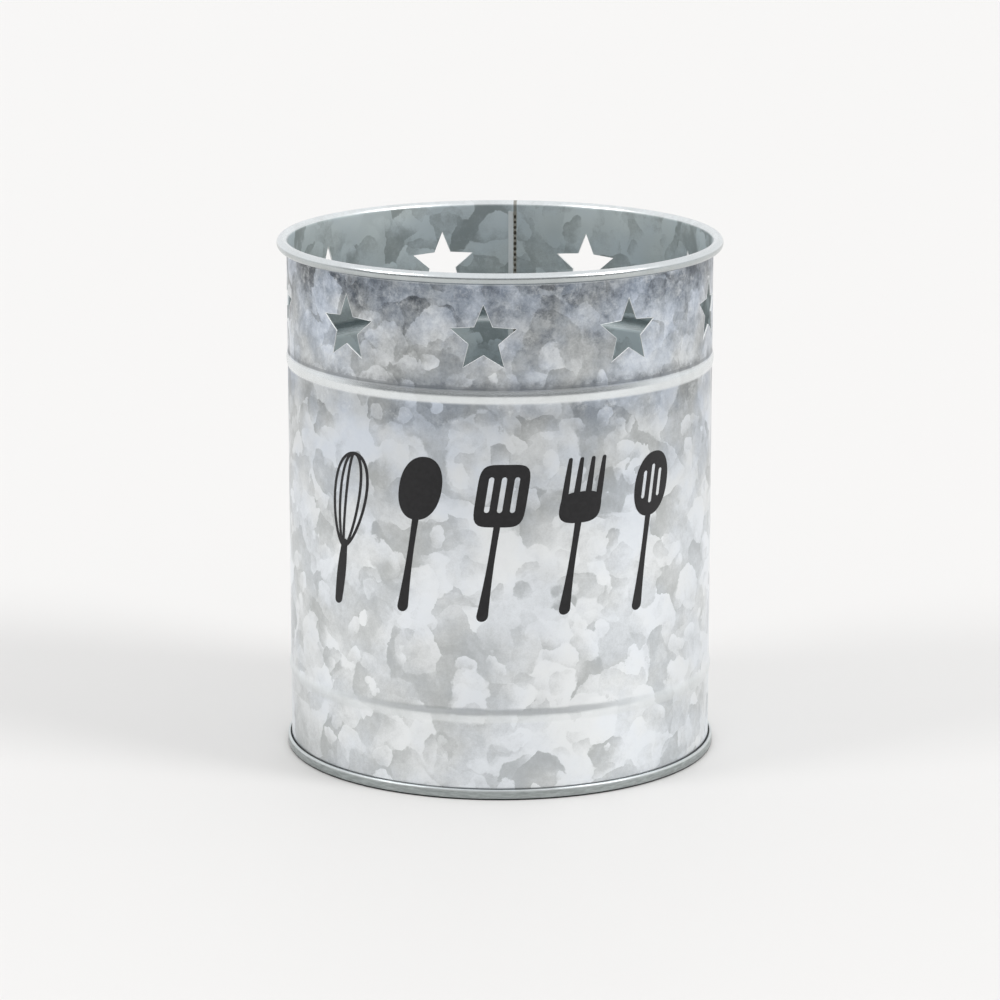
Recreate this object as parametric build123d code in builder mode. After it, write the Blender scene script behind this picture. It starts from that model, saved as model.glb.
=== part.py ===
from build123d import *
from math import cos, degrees, pi, radians, sin
import os

# Round utensil holder of galvanised sheet steel, in millimetres, +Z up.
# The origin is the centre of the ring that the holder rests on. The middle star of the punched row
# faces -Y and the welded side seam lies on +Y.
# It is three pieces: the rolled wall, the wire that stiffens its curled rim, and the base pan, which
# is folded together with the foot of the wall in a double seam.
# Every section is the line of one face of the sheet, given the sheet's thickness on one side.

# Sheet and wire
SHEET = 0.35  # thickness of the galvanised sheet
WIRE_DIAMETER = 2.4  # stiffening wire inside the rim

# Wall
HEIGHT = 155.6  # table to the top of the rim
BODY_DIAMETER = 127.0  # outside of the plain wall

# Curled rim
WIRE_CLEARANCE = 0.1  # between the wire and the sheet curled round it
CURL_TURN_FLATS = 12  # flats that a full turn of the curl is drawn with
CURL_FLATS = 10  # how many of them the sheet wraps
WIRE_SIDE_COUNT = 8  # flats that the round of the wire is drawn with

# Rolled beads, which stand outwards
BEAD_RISE = 0.45
BEAD_WIDTH = 5.5  # along the wall, over both flanks
BEAD_CREST = 1.7  # along the wall, at full rise
UPPER_BEAD_DROP = 36.2  # rim top down to the crest
LOWER_BEAD_HEIGHT = 25.0  # table up to the crest

# Punched stars, spaced along the flat blank before it is rolled
STAR_COUNT = 9
STAR_SEAM_GAP = 46.0  # between the two stars beside the side seam, along the middle of the sheet
STAR_DROP = 19.35  # rim top down to a star's centre
STAR_POINTS = 5
STAR_TIP_RADIUS = 10.45  # centre to the sharp tip
STAR_NOTCH_RADIUS = 4.5  # centre to the inner corners
STAR_TIP_CUT = 0.4  # taken off each tip, along its edges
PUNCH_REACH = 3.0  # each way from the wall's outer face

# Welded side seam, where the ends of the sheet overlap
LAP_WIDTH = 2.6  # round the wall
LAP_RISE = 0.12  # what the rolled weld stands proud of each face
LAP_SHIFT = 0.8  # middle of the overlap from the +Y line, towards -X

# Double seam at the foot
SEAM_HEIGHT = 3.1
SEAM_CLEARANCE = 0.04  # between folded layers
HOOK_END_GAP = 0.3  # from each hook's edge to the fold that it sits in
FOLD_EASE = 0.2  # cut off the outside of each fold that shows

# Base panel
PANEL_LIFT = 0.5  # panel's underside above the top of the seam
PANEL_STEP_DIAMETER = 98.0  # shallow step that stiffens the panel
PANEL_STEP_RISE = 0.9
PANEL_STEP_RUN = 2.2

# Places worked out from the sizes above
wall_outer = BODY_DIAMETER / 2
wall_inner = wall_outer - SHEET
wall_middle = wall_outer - SHEET / 2
layer_step = SHEET + SEAM_CLEARANCE

curl_radius = WIRE_DIAMETER / 2 + WIRE_CLEARANCE + SHEET
curl_centre = (wall_inner + curl_radius, HEIGHT - curl_radius)
upper_bead_z = HEIGHT - UPPER_BEAD_DROP
star_z = HEIGHT - STAR_DROP
star_pitch = (2 * pi * wall_middle - STAR_SEAM_GAP) / (STAR_COUNT - 1)
star_angle = degrees(star_pitch / wall_middle)

body_foot_z = SHEET + SEAM_CLEARANCE
body_hook_top = SEAM_HEIGHT - SHEET - HOOK_END_GAP
pan_hook_foot = body_foot_z + SHEET + HOOK_END_GAP
chuck_face = wall_inner - layer_step
seaming_face = wall_outer + 3 * layer_step
pan_hook_face = wall_outer + SEAM_CLEARANCE
panel_z = SEAM_HEIGHT + PANEL_LIFT

lap_foot_z = panel_z + 2 * SHEET
lap_head_z = HEIGHT - 2 * curl_radius
lap_angle = degrees(LAP_WIDTH / wall_middle)
lap_start = 90 + degrees(LAP_SHIFT / wall_middle) - lap_angle / 2


def bead(radius, crest_z):
    """Corners of one bead on a wall face of the given radius, from its foot up."""
    return [
        (radius, crest_z - BEAD_WIDTH / 2),
        (radius + BEAD_RISE, crest_z - BEAD_CREST / 2),
        (radius + BEAD_RISE, crest_z + BEAD_CREST / 2),
        (radius, crest_z + BEAD_WIDTH / 2),
    ]


def curl():
    """Corners of the rim's outer face, from the wall over the top and round the wire."""
    corners = []
    for flat in range(CURL_FLATS + 1):
        turn = radians(180 - 360 * flat / CURL_TURN_FLATS)
        across = curl_centre[0] + curl_radius * cos(turn)
        up = curl_centre[1] + curl_radius * sin(turn)
        corners.append((across, up))
    return corners


def star_outline():
    """Corners of an upright star round the origin, tip and notch in turn."""
    corners = []
    for corner in range(2 * STAR_POINTS):
        reach = STAR_TIP_RADIUS if corner % 2 == 0 else STAR_NOTCH_RADIUS
        turn = radians(90 + 180 * corner / STAR_POINTS)
        corners.append((reach * cos(turn), reach * sin(turn)))
    return corners


def radial_plane(angle):
    """Plane against the wall at a star's height, turned from -Y, with its Y up."""
    outward = Vector(sin(radians(angle)), -cos(radians(angle)), 0)
    along = Vector(cos(radians(angle)), sin(radians(angle)), 0)
    return Plane(origin=outward * wall_outer + Vector(0, 0, star_z), x_dir=along, z_dir=outward)


# The punch, with its tips blunted
with BuildSketch() as star:
    with BuildLine():
        Polyline(*star_outline(), close=True)
    make_face()
    chamfer(star.vertices().sort_by_distance((0, 0))[-STAR_POINTS:], length=STAR_TIP_CUT)

star_planes = []
for place in range(STAR_COUNT):
    star_planes.append(radial_plane((place - (STAR_COUNT - 1) / 2) * star_angle))

lap_plane = Plane(
    origin=(0, 0, 0),
    x_dir=(cos(radians(lap_start)), sin(radians(lap_start)), 0),
    z_dir=(sin(radians(lap_start)), -cos(radians(lap_start)), 0),
)

# Rolled wall: hook at the foot, two beads, curl at the rim, welded lap, punched stars
with BuildPart() as body_wall:
    with BuildSketch(Plane.XZ):
        with BuildLine():
            Polyline(
                (wall_outer + 2 * layer_step, body_hook_top),
                (wall_outer + 2 * layer_step, body_foot_z),
                (wall_inner, body_foot_z),
                *bead(wall_inner, LOWER_BEAD_HEIGHT),
                *bead(wall_inner, upper_bead_z),
                *curl(),
            )
            offset(amount=SHEET, side=Side.RIGHT, kind=Kind.INTERSECTION)
        make_face()
    revolve(axis=Axis.Z)
    with BuildSketch(lap_plane):
        with BuildLine():
            Polyline(
                (wall_inner - LAP_RISE, lap_foot_z),
                *bead(wall_inner - LAP_RISE, LOWER_BEAD_HEIGHT),
                *bead(wall_inner - LAP_RISE, upper_bead_z),
                (wall_inner - LAP_RISE, lap_head_z),
            )
            offset(amount=SHEET + 2 * LAP_RISE, side=Side.RIGHT, kind=Kind.INTERSECTION)
        make_face()
    revolve(axis=Axis.Z, revolution_arc=lap_angle)
    with BuildSketch(*star_planes):
        add(star.sketch)
    extrude(amount=PUNCH_REACH, both=True, mode=Mode.SUBTRACT)
body_wall.part.label = "body_wall"

# Base pan: stepped panel, chuck wall inside the body, and the fold that locks round the body's hook
step_inner = (PANEL_STEP_DIAMETER - PANEL_STEP_RUN) / 2
step_outer = (PANEL_STEP_DIAMETER + PANEL_STEP_RUN) / 2
with BuildPart() as base_pan:
    with BuildSketch(Plane.XZ) as pan_section:
        with BuildLine():
            Polyline(
                (0, panel_z + PANEL_STEP_RISE),
                (step_inner, panel_z + PANEL_STEP_RISE),
                (step_outer, panel_z),
                (chuck_face, panel_z),
                (chuck_face, 0),
                (seaming_face, 0),
                (seaming_face, SEAM_HEIGHT),
                (pan_hook_face, SEAM_HEIGHT),
                (pan_hook_face, pan_hook_foot),
            )
            offset(amount=SHEET, side=Side.LEFT, kind=Kind.INTERSECTION)
        make_face()
        folds = [(chuck_face, 0), (seaming_face, 0), (seaming_face, SEAM_HEIGHT)]
        chamfer([pan_section.vertices().sort_by_distance(fold)[0] for fold in folds], length=FOLD_EASE)
    revolve(axis=Axis.Z)
base_pan.part.label = "base_pan"

# Wire ring inside the curl
with BuildPart() as rim_wire:
    with BuildSketch(Plane.XZ):
        with Locations(curl_centre):
            RegularPolygon(WIRE_DIAMETER / 2, WIRE_SIDE_COUNT)
    revolve(axis=Axis.Z)
rim_wire.part.label = "rim_wire"

os.makedirs("parts", exist_ok=True)
export_step(body_wall.part, "parts/body_wall.step")
export_step(base_pan.part, "parts/base_pan.step")
export_step(rim_wire.part, "parts/rim_wire.step")
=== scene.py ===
import math

from functools import partialmethod

import bmesh
import bpy
from bpy.props import FloatProperty, FloatVectorProperty, IntProperty, PointerProperty
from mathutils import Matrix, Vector
from mathutils.geometry import delaunay_2d_cdt


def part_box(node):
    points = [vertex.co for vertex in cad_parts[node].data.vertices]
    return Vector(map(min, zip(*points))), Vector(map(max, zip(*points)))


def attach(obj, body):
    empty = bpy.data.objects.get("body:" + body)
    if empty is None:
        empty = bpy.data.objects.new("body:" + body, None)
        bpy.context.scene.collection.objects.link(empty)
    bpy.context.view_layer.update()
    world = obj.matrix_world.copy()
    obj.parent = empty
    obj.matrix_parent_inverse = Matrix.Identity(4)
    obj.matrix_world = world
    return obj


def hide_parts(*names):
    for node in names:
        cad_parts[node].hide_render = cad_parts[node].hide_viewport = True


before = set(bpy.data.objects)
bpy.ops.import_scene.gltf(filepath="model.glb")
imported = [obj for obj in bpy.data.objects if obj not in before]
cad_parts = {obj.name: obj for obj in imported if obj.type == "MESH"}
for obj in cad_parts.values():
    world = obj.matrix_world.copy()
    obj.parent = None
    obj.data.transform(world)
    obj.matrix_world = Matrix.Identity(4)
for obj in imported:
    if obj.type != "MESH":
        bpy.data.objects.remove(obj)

bl_info = {
    "name": "Galvanised utensil holder",
    "version": (1, 0, 0),
    "blender": (4, 5, 0),
    "location": "View3D > Sidebar > Utensil holder",
    "description": "Dresses the utensil holder: zinc wall, base pan, side weld, vinyl mark and studio",
    "category": "Add Mesh",
}

MM = 0.001
TURN = 2 * math.pi
WALL_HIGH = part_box("body_wall")[1]
PAN_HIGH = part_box("base_pan")[1]
MERGE = 0.02 * MM  # points nearer than this are one
SHARP_ANGLE = math.radians(32)  # an edge that turns more than this is left sharp

PLAIN_ROWS = (3, 8, 4)  # rows in the wall below, between and above the beads
BEAD_ROWS = 14
CURL_ROWS = 22
STAR_POINTS = 5
PUNCH_REACH = 3 * MM  # how far the punch goes past each face
BURR_SIDES = 6
BURR_CUTS = 9  # in each straight side of a star
SEAM_CLEARANCE = 0.04 * MM  # between folded layers
BEND_STEPS = 5
LAP_CUTS = (7, 320, 2)  # points across the lap, up it and through it
NUGGET_CUTS = 2
NUGGET_LEAST = (0.75, 0.8, 0.8)  # smallest and largest nugget, as parts of its width, length and depth
NUGGET_MOST = (1.15, 1.2, 1.1)

# The zinc's pattern, with all lengths in millimetres
DARK_TONE_AND_SHADE_STEPS = (  # from and to height, and how much darker the zinc is above; the darkening up to the rim is partly painted reflection, the step under the upper bead is painted shade and the negative step over it a painted highlight
    (58.0, 106.0, 0.30),
    (106.0, 114.5, 0.28),
    (114.5, 126.0, -0.24),
    (127.0, 135.0, 0.16),
    (139.0, 151.0, 0.36),
)
VEIL_PATCHES = (100.0, 150.0, 0.2, 2.0)  # from and to height, and how patchy it is below and above
FLAKE_LAYERS = (  # size, seed, reach of a flake in its cell, darkest tone
    (34.0, 1, 0.9, 0.25),
    (24.0, 2, 0.6, 0.15),
    (17.0, 3, 0.6, 0.2),
    (12.0, 4, 0.55, 0.25),
    (8.0, 5, 0.45, 0.45),
)
FLAKE_BENDS = (  # fineness, octaves and ruggedness of a noise, and how far it bends the flakes' edges
    (0.07, 2.0, 0.5, 12.0),
    (0.42, 3.0, 0.62, 2.2),
)
MOTTLE_LAYERS = (  # fineness, octaves and ruggedness of a noise, and how much the tone changes with it
    (0.16, 5.0, 0.72, 0.50),
    (0.5, 4.0, 0.7, 0.42),
    (2.2, 3.0, 0.7, 0.30),
)
LAYER_SHIFT = (31.7, 17.3, 23.9)  # sets each layer of flakes apart from the others
FLAKE_HEADING = (0.5, 0.5, 0.1)  # taken off a random colour, it leaves a direction that is mostly upwards
FLAKE_EDGE = 0.04
MIDDLE_TONE = 0.55
INSIDE_CONTRAST = 1.45
NO_CAST = (1.0, 1.0, 1.0)
WARM_CAST = (1.03, 1.02, 1.0)
COOL_CAST = (0.93, 0.975, 1.06)
BLOTCHES = (0.2, 6.0, 0.8)  # fineness, octaves and ruggedness of this noise and the next five
GROUND_CLOUDS = (0.045, 2.0, 0.5)
CAST_CLOUDS = (0.055, 3.0, 0.5)
GLINT_CLOUDS = (0.14, 8.0, 0.82)
SCUFFS = (0.9, 4.0, 0.7)
FINE_GRAIN = (3.5, 3.0, 0.6)
SCUFF_STRETCH = (0.35, 0.35, 2.0)
GLINT_COVER = 0.38  # most that the painted glints cover
PAINTED_LINE_DEPTH = 0.5  # how dark the crisp line of painted shade over the upper bead is
RUBBED_AND_HIGHLIT = 0.85  # how bright the rim and the upper bead are rubbed, which is also a painted highlight
LOWER_RUBBED_AND_HIGHLIT = 0.6  # the lower bead's share of that
WEAR = 0.22  # most that worn blotches dull it
SCORCHED = 0.7
FLAKE_ROUGHNESS = (0.42, 0.33)  # of the darkest and the palest flakes
INSIDE_ROUGHNESS = 0.58
POLISHED_ROUGHNESS = 0.24
OUTER_FACING = (-0.2, 0.2)  # how much a face looks away from the axis, from inside to outside
CURL_FACING = (-0.6, -0.2)  # the same, from the inner face to the curl
CURL_ZONE = (-4.0, -3.2)  # from the rim's top, where the curl starts
WORN_AND_HIGHLIT_ZONE = (-1.4, -0.8)  # from the rim's top, where the curl is worn and painted bright as a highlight
BEAD_BAND = (2.3, 0.9)  # half of a bead's burnished band, which also carries a painted highlight, and its soft edge
CREASE_TOP = (6.0, 2.8)  # from the upper crest, where the painted shade in the crease over it fades out
CREASE_FOOT = (1.9, 2.6)  # from the upper crest, where it starts
CREASE_LINE = (0.6, 0.25)  # half of its crisp line, and the line's soft edge
SCORCH_LINE = (0.7, 0.4)  # half of the weld's mark across the rim, and its soft edge
FOLD_EDGE = (-0.6, -0.2)  # from the wall's inner face, where the base's fold starts
CREVICE_EDGE = (0.95, 0.75)  # from the wall's inner face, where the painted shade in the crevice over the fold ends
FOLD_LIP = (-0.8, -0.3)  # from the seam's top, where the fold's bright edge, worn and also a painted highlight, starts
CONTACT_SHADOW_LINE = (0.7, 0.3)  # height of the painted contact shadow over the table
PAINTED_CONTACT_SHADOW = (0.02, 0.02, 0.02)
CREVICE_SHADE = (0.01, 0.012, 0.012)
LEAN = (0.09, 0.012)  # how much a flake leans, on plain and on rolled zinc
HEAT_LINE = (0.7, 0.35)  # half of the line of heat along the lap, and its soft edge

# The drawing on the front, in millimetres on the flat sheet
TOOL_PITCH = 24.0
TOOL_HEIGHT = 46.0
TOOL_SLANT = 0.16
TOOL_STAGGER = 1.5
HANDLE_FOOT = 1.6
WHISK_BULGES = (-8.6, -5.2, -1.9, 1.9, 5.2, 8.6)
WHISK_FOOT = 18
WHISK_LENGTH = 28.2
WHISK_WIRE = 0.95
WHISK_NECK = 0.45  # how full the loops are at their foot
FILM_COLUMN = 1.2
FILM_MERGE = 0.0001
CAP_STEPS = 8
STROKE_STEPS = 12
OVAL_STEPS = 56
LOOP_STEPS = 40

# The studio
FLOOR_REACH = 6.0
FLOOR_COLOUR = (0.80, 0.785, 0.77)
ROOM_DARK = (0.17, 0.175, 0.18)  # round the camera and low down
ROOM_LIGHT = (0.92, 0.93, 0.94)  # overhead and behind the holder
ROOM_OVERHEAD = (0.15, 0.55)  # how high up it turns pale
ROOM_BEHIND = (-0.55, 0.2)  # how far towards the back it turns pale
LAMPS = (  # name, side that it stands on, and strength
    ("key", (0.95, -0.35, 0.75), 1.0),
    ("fill", (-0.85, -0.45, 0.75), 0.6),
)
LAMP_SPREAD = math.radians(20)
SENSOR_WIDTH = 36.0  # in millimetres
NEAREST_SEEN = 0.05  # in metres from the camera


# Sizes and colours that a user would change


def LengthProperty(name, description, default):
    return FloatProperty(name=name, description=description, default=default, unit="LENGTH")


def AngleProperty(name, description, degrees):
    return FloatProperty(name=name, description=description, default=math.radians(degrees), unit="ROTATION")


def CountProperty(name, description, default, least):
    return IntProperty(name=name, description=description, default=default, min=least)


def ColourProperty(name, description, default):
    return FloatVectorProperty(name=name, description=description, default=default, subtype="COLOR")


class WallSettings(bpy.types.PropertyGroup):
    """Sizes of the rolled wall."""

    height: LengthProperty("Height", "Table to the top of the rim", WALL_HIGH.z)
    rim_radius: LengthProperty("Rim radius", "Outermost reach of the curl", WALL_HIGH.x)
    sheet: LengthProperty("Sheet", "Thickness of the sheet", 0.35 * MM)
    curl_radius: LengthProperty("Curl radius", "Outside radius of the curled rim", 1.65 * MM)
    curl_wrap: AngleProperty("Curl wrap", "How far the sheet goes round the wire", 300)
    foot: LengthProperty("Foot", "Lower edge of the sheet inside the seam", 0.8 * MM)
    columns: CountProperty("Columns", "Divisions round the wall", 432, 36)


class BeadSettings(bpy.types.PropertyGroup):
    """Sizes of the two rolled beads."""

    upper: LengthProperty("Upper bead", "Height of the upper crest", 119.4 * MM)
    lower: LengthProperty("Lower bead", "Height of the lower crest", 25.0 * MM)
    rise: LengthProperty("Rise", "How far a bead stands out", 0.45 * MM)
    width: LengthProperty("Width", "Foot to foot of a bead", 5.5 * MM)


class StarSettings(bpy.types.PropertyGroup):
    """Sizes of the row of punched stars."""

    count: CountProperty("Count", "Stars in the row", 9, 1)
    height: LengthProperty("Height", "Table to the middle of a star", 136.25 * MM)
    pitch: AngleProperty("Pitch", "Angle from one star to the next", 39.8)
    tip_radius: LengthProperty("Tip radius", "Middle to the tips", 10.15 * MM)
    notch_radius: LengthProperty("Notch radius", "Middle to the inner corners", 4.5 * MM)
    burr: LengthProperty("Burr", "Radius of the burr", 0.08 * MM)


class PanSettings(bpy.types.PropertyGroup):
    """Sizes of the base pan and its seam."""

    seam_radius: LengthProperty("Seam radius", "Outside of the double seam", PAN_HIGH.x)
    seam_height: LengthProperty("Seam height", "Table to the top of the seam", 3.1 * MM)
    panel_lift: LengthProperty("Panel lift", "Underside of the panel above the table", 3.6 * MM)
    step_radius: LengthProperty("Step radius", "Middle of the panel's step", 49.0 * MM)
    step_rise: LengthProperty("Step rise", "Height of the step", 0.9 * MM)
    step_run: LengthProperty("Step run", "Width of the step", 2.2 * MM)
    bend: LengthProperty("Bend", "Radius of the folds", 0.42 * MM)
    segments: CountProperty("Segments", "Divisions round the pan", 360, 36)


class SeamSettings(bpy.types.PropertyGroup):
    """Sizes of the welded side seam."""

    width: LengthProperty("Width", "Width of the lap", 2.6 * MM)
    shift: LengthProperty("Shift", "Middle of the lap from the weld line", 0.8 * MM)
    proud: LengthProperty("Proud", "How far the lap stands off each face", 0.12 * MM)
    nugget_pitch: LengthProperty("Nugget pitch", "From one weld nugget to the next", 1.7 * MM)
    nugget_length: LengthProperty("Nugget length", "Nugget's length up the wall", 1.15 * MM)
    nugget_width: LengthProperty("Nugget width", "Nugget's width round the wall", 0.95 * MM)
    nugget_depth: LengthProperty("Nugget depth", "How far a nugget stands out", 0.1 * MM)


class MarkSettings(bpy.types.PropertyGroup):
    """Size, place and colour of the vinyl utensils on the front."""

    scale: FloatProperty(name="Scale", description="Size of the drawing", default=1.0, min=0.2, max=1.5)
    across: LengthProperty("Across", "Middle of the drawing, round the wall from the front", 3.0 * MM)
    foot: LengthProperty("Foot", "Table to the drawing's lowest point", 53.5 * MM)
    film: LengthProperty("Film", "Thickness of the vinyl", 0.07 * MM)
    colour: ColourProperty("Colour", "Colour of the vinyl", (0.014, 0.0135, 0.0145))


class ZincSettings(bpy.types.PropertyGroup):
    """Colours of the galvanised finish."""

    pale: ColourProperty("Pale flakes", "Brightest zinc", (0.885, 0.91, 0.925))
    grey: ColourProperty("Grey flakes", "Duller zinc", (0.53, 0.55, 0.55))
    tint: ColourProperty("Tint", "Bluish flakes near the rim", (0.30, 0.33, 0.365))
    # dark also colours the painted reflection near the rim and the painted shade over the upper bead
    dark: ColourProperty("Dark", "Darkest zinc, near the rim", (0.085, 0.095, 0.105))
    inside: ColourProperty("Inside", "What the duller inner face is dimmed by", (0.78, 0.82, 0.812))
    # also the colour of the painted highlight on the rim, the beads and the base's lip
    burnish_and_highlight: ColourProperty("Burnished", "Rolled rim and beads", (0.84, 0.87, 0.875))
    # fold also paints the shade under the top of the rim's curl
    fold: ColourProperty("Fold", "Plain fold round the base", (0.44, 0.475, 0.47))
    scuffed: ColourProperty("Scuffed fold", "Duller places in that fold", (0.3168, 0.342, 0.3384))
    scorch: ColourProperty("Scorch", "Mark of the weld across the rim", (0.20, 0.18, 0.13))


class MetalSettings(bpy.types.PropertyGroup):
    """Colours of the cut edges, the wire and the side weld."""

    # the cut colours are pale to paint the highlight along the stars' cut edges
    cut_dull: ColourProperty("Dull cut", "Duller places in the stars' cut edges", (0.76, 0.78, 0.78))
    cut_bright: ColourProperty("Bright cut", "Brighter places in the stars' cut edges", (0.92, 0.94, 0.94))
    wire_dull: ColourProperty("Dull wire", "Duller places in the rim wire", (0.36, 0.37, 0.38))
    wire_bright: ColourProperty("Bright wire", "Brighter places in the rim wire", (0.55, 0.56, 0.57))
    lap_dull: ColourProperty("Dull lap", "Duller streaks in the lap", (0.74, 0.76, 0.76))
    lap_bright: ColourProperty("Bright lap", "Brighter streaks in the lap", (0.93, 0.95, 0.95))
    heat: ColourProperty("Heat", "Line of heat along the lap", (0.27, 0.25, 0.20))
    scale_dark: ColourProperty("Dark scale", "Darker scale on the nuggets", (0.035, 0.03, 0.022))
    scale_light: ColourProperty("Light scale", "Lighter scale on the nuggets", (0.13, 0.12, 0.095))


class StudioSettings(bpy.types.PropertyGroup):
    """Place and lens of the camera."""

    distance: LengthProperty("Distance", "Camera to the holder's axis", 1.2137)
    height: LengthProperty("Height", "Camera above the table", 0.3622)
    azimuth: AngleProperty("Azimuth", "Camera's turn towards +X", 4.27)
    pitch: AngleProperty("Pitch", "Camera's tilt below level", 13.333)
    lens: FloatProperty(name="Lens", description="Focal length", default=148.65, unit="CAMERA")


class HolderSettings(bpy.types.PropertyGroup):
    """All settings of the holder."""

    wall: PointerProperty(type=WallSettings)
    beads: PointerProperty(type=BeadSettings)
    stars: PointerProperty(type=StarSettings)
    pan: PointerProperty(type=PanSettings)
    seam: PointerProperty(type=SeamSettings)
    mark: PointerProperty(type=MarkSettings)
    zinc: PointerProperty(type=ZincSettings)
    metal: PointerProperty(type=MetalSettings)
    studio: PointerProperty(type=StudioSettings)


def settings():
    return bpy.context.scene.utensil_holder


# Node trees


class NodeMaker:
    """Adds nodes to a tree and joins them."""

    def __init__(self, tree):
        self.tree = tree

    def feed(self, socket, value):
        """Links a socket to another, or sets its value. A colour comes without its alpha."""
        if isinstance(value, bpy.types.NodeSocket):
            self.tree.links.new(value, socket)
        elif socket.type == "RGBA":
            socket.default_value = (*value, 1.0)
        else:
            socket.default_value = value

    def add(self, kind, *values, inputs=None, **options):
        """A new node. Values go to its usable inputs in order, and None leaves one as it is."""
        node = self.tree.nodes.new(kind)
        for name, value in options.items():
            setattr(node, name, value)
        usable = [socket for socket in node.inputs if socket.enabled]
        for socket, value in zip(usable, values):
            if value is not None:
                self.feed(socket, value)
        for name, value in (inputs or {}).items():
            self.feed(node.inputs[name], value)
        return node

    def value(self, kind, *values, **options):
        """The first usable output of a new node."""
        node = self.add(kind, *values, **options)
        return next(socket for socket in node.outputs if socket.enabled)

    def math(self, operation, *values):
        return self.value("ShaderNodeMath", *values, operation=operation)

    plus = partialmethod(math, "ADD")
    minus = partialmethod(math, "SUBTRACT")
    times = partialmethod(math, "MULTIPLY")
    over = partialmethod(math, "DIVIDE")
    larger = partialmethod(math, "MAXIMUM")
    smaller = partialmethod(math, "MINIMUM")
    unsigned = partialmethod(math, "ABSOLUTE")
    sine = partialmethod(math, "SINE")
    cosine = partialmethod(math, "COSINE")

    def swing(self, value, amount, middle=0.5, onto=0.0):
        """What a value is off its middle, times an amount, added onto another value."""
        return self.math("MULTIPLY_ADD", self.minus(value, middle), amount, onto)

    def ramp(self, value, low, high, start=0.0, end=1.0):
        """Eases a value from start to end as it goes from low to high."""
        levels = (value, low, high, start, end)
        return self.value("ShaderNodeMapRange", *levels, interpolation_type="SMOOTHSTEP")

    def vector(self, operation, *values):
        return self.value("ShaderNodeVectorMath", *values, operation=operation)

    def combine(self, x, y, z):
        return self.value("ShaderNodeCombineXYZ", x, y, z)

    def separate(self, vector):
        return self.add("ShaderNodeSeparateXYZ", vector).outputs

    def blend(self, factor, first, second):
        """A colour that goes from the first to the second."""
        return self.value("ShaderNodeMix", factor, first, second, data_type="RGBA")

    def mix(self, factor, first, second):
        """A number that goes from the first to the second."""
        return self.value("ShaderNodeMix", factor, first, second, data_type="FLOAT")


class GeometryTree(NodeMaker):
    """A Geometry Nodes tree with named inputs for its sizes."""

    def __init__(self, name):
        super().__init__(bpy.data.node_groups.new(name, "GeometryNodeTree"))
        self.inputs = {}
        self.tree.interface.new_socket("Geometry", in_out="OUTPUT", socket_type="NodeSocketGeometry")
        self.entry = self.tree.nodes.new("NodeGroupInput")
        self.geometry = self.size("Geometry", "NodeSocketGeometry")

    def size(self, name, kind="NodeSocketFloat"):
        """The tree's input of that name, added when it is first asked for."""
        if name not in self.inputs:
            item = self.tree.interface.new_socket(name, in_out="INPUT", socket_type=kind)
            self.inputs[name] = next(s for s in self.entry.outputs if s.identifier == item.identifier)
        return self.inputs[name]

    def sizes(self, *names):
        return [self.size(name) for name in names]

    def count(self, name):
        return self.size(name, "NodeSocketInt")

    def material(self, name):
        return self.size(name, "NodeSocketMaterial")

    def step(self, kind, *values, **options):
        """The first usable output of a new geometry node."""
        return self.value("GeometryNode" + kind, *values, **options)

    def join(self, *parts):
        """One geometry of several."""
        node = self.tree.nodes.new("GeometryNodeJoinGeometry")
        for part in parts:
            self.tree.links.new(part, node.inputs[0])
        return node.outputs[0]

    def finish(self, geometry, *materials, angle=SHARP_ANGLE):
        """Smooths edges that turn less than the angle, and ends the tree.

        The end is Realize Instances and a Set Material for each (material, selection).
        """
        geometry = self.step("SetShadeSmooth", geometry, None, True, domain="FACE")
        soft = self.math("LESS_THAN", self.step("InputMeshEdgeAngle"), angle)
        geometry = self.step("SetShadeSmooth", geometry, None, soft, domain="EDGE")
        geometry = self.step("RealizeInstances", geometry)
        for material, selection in materials:
            geometry = self.step("SetMaterial", geometry, selection, material)
        end = self.tree.nodes.new("NodeGroupOutput")
        self.tree.links.new(geometry, end.inputs[0])
        return self.tree


def setting(name):
    """The setting that a tree's input is named after, such as Wall height."""
    group, size = name.lower().split(" ", 1)
    return getattr(getattr(settings(), group), size.replace(" ", "_"))


def made_by_nodes(name, base_mesh, tree, **sizes):
    """Runs a tree on a base mesh and returns the result as a plain object.

    The sizes are those of its inputs that aren't named after a setting.
    """
    source = bpy.data.objects.new(name + "_source", base_mesh)
    bpy.context.scene.collection.objects.link(source)
    modifier = source.modifiers.new("Shape", "NODES")
    modifier.node_group = tree
    for item in tree.interface.items_tree:
        if item.in_out == "INPUT" and item.socket_type != "NodeSocketGeometry":
            key = item.name.lower().replace(" ", "_")
            modifier[item.identifier] = sizes[key] if key in sizes else setting(item.name)
    graph = bpy.context.evaluated_depsgraph_get()
    mesh = bpy.data.meshes.new_from_object(source.evaluated_get(graph))
    source.modifiers.remove(modifier)
    bpy.data.objects.remove(source)
    if not mesh.polygons:
        raise RuntimeError(f"{name} came out empty")
    mesh.name = name
    turn_outwards(mesh)
    piece = bpy.data.objects.new(name, mesh)
    bpy.context.scene.collection.objects.link(piece)
    return piece


def turn_outwards(mesh):
    """Turns the faces of a closed mesh outwards."""
    closed = bmesh.new()
    closed.from_mesh(mesh)
    if closed.calc_volume(signed=True) < 0:
        bmesh.ops.reverse_faces(closed, faces=closed.faces)
        closed.to_mesh(mesh)
    closed.free()


def line_mesh(name, points):
    """A mesh of one open line."""
    mesh = bpy.data.meshes.new(name)
    mesh.from_pydata(points, [(at, at + 1) for at in range(len(points) - 1)], [])
    return mesh


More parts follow.
